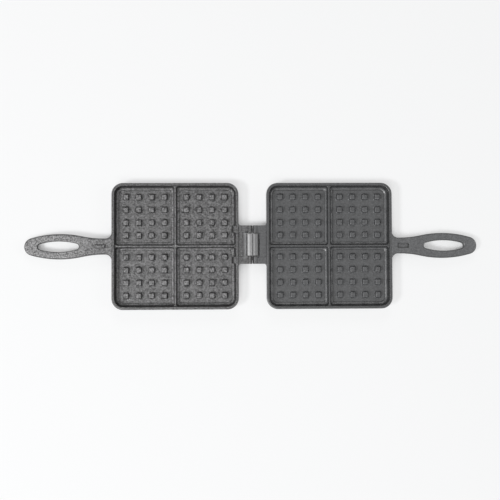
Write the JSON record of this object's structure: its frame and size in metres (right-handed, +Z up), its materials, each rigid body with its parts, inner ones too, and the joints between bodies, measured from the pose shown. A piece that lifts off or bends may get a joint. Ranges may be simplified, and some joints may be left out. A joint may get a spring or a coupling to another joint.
{
  "type": "stovetop waffle iron",
  "caption": "Two square cast-iron plates with raised studs, a loop handle on each, joined by a double-pivot hinge; shown open and folds shut over the batter.",
  "frame": {"origin": "on the rest plane, midway between the two plates and midway along their sides, iron open flat", "axes": "+X from the hinge to the right handle, +Y along the hinge, away from the viewer of the picture, +Z up"},
  "size_m": [0.5396, 0.15, 0.0177],
  "materials": {
    "left_iron": "sand-cast skin, fine grain, lightly seasoned, dark grey",
    "right_iron": "sand-cast skin, smoother and a little darker and bluer than the left half",
    "link_steel": "smooth dull grey steel",
    "pin_steel": "plain drawn steel, dull"
  },
  "bodies": {
    "left_half": {"left_plate_base": "left_iron", "left_plate_rim": "left_iron", "left_plate_ribs": "left_iron", "left_plate_studs": "left_iron", "left_handle": "left_iron", "left_hinge_bracket": "left_iron", "left_hinge_pin": "pin_steel"},
    "link": {"hinge_link": "link_steel"},
    "right_half": {"right_plate_base": "right_iron", "right_plate_rim": "right_iron", "right_plate_ribs": "right_iron", "right_plate_studs": "right_iron", "right_handle": "right_iron", "right_hinge_bracket": "right_iron", "right_hinge_pin": "pin_steel"}
  },
  "joints": [
    {"name": "left_pivot", "type": "hinge", "parent": "left_half", "child": "link", "pos_m": [-0.0032, 0.0016, 0.0129], "axis": [0, -1, 0], "range_deg": [0, 90]},
    {"name": "right_pivot", "type": "hinge", "parent": "link", "child": "right_half", "pos_m": [0.0032, 0.0016, 0.0129], "axis": [0, -1, 0], "range_deg": [0, 90]}
  ]
}
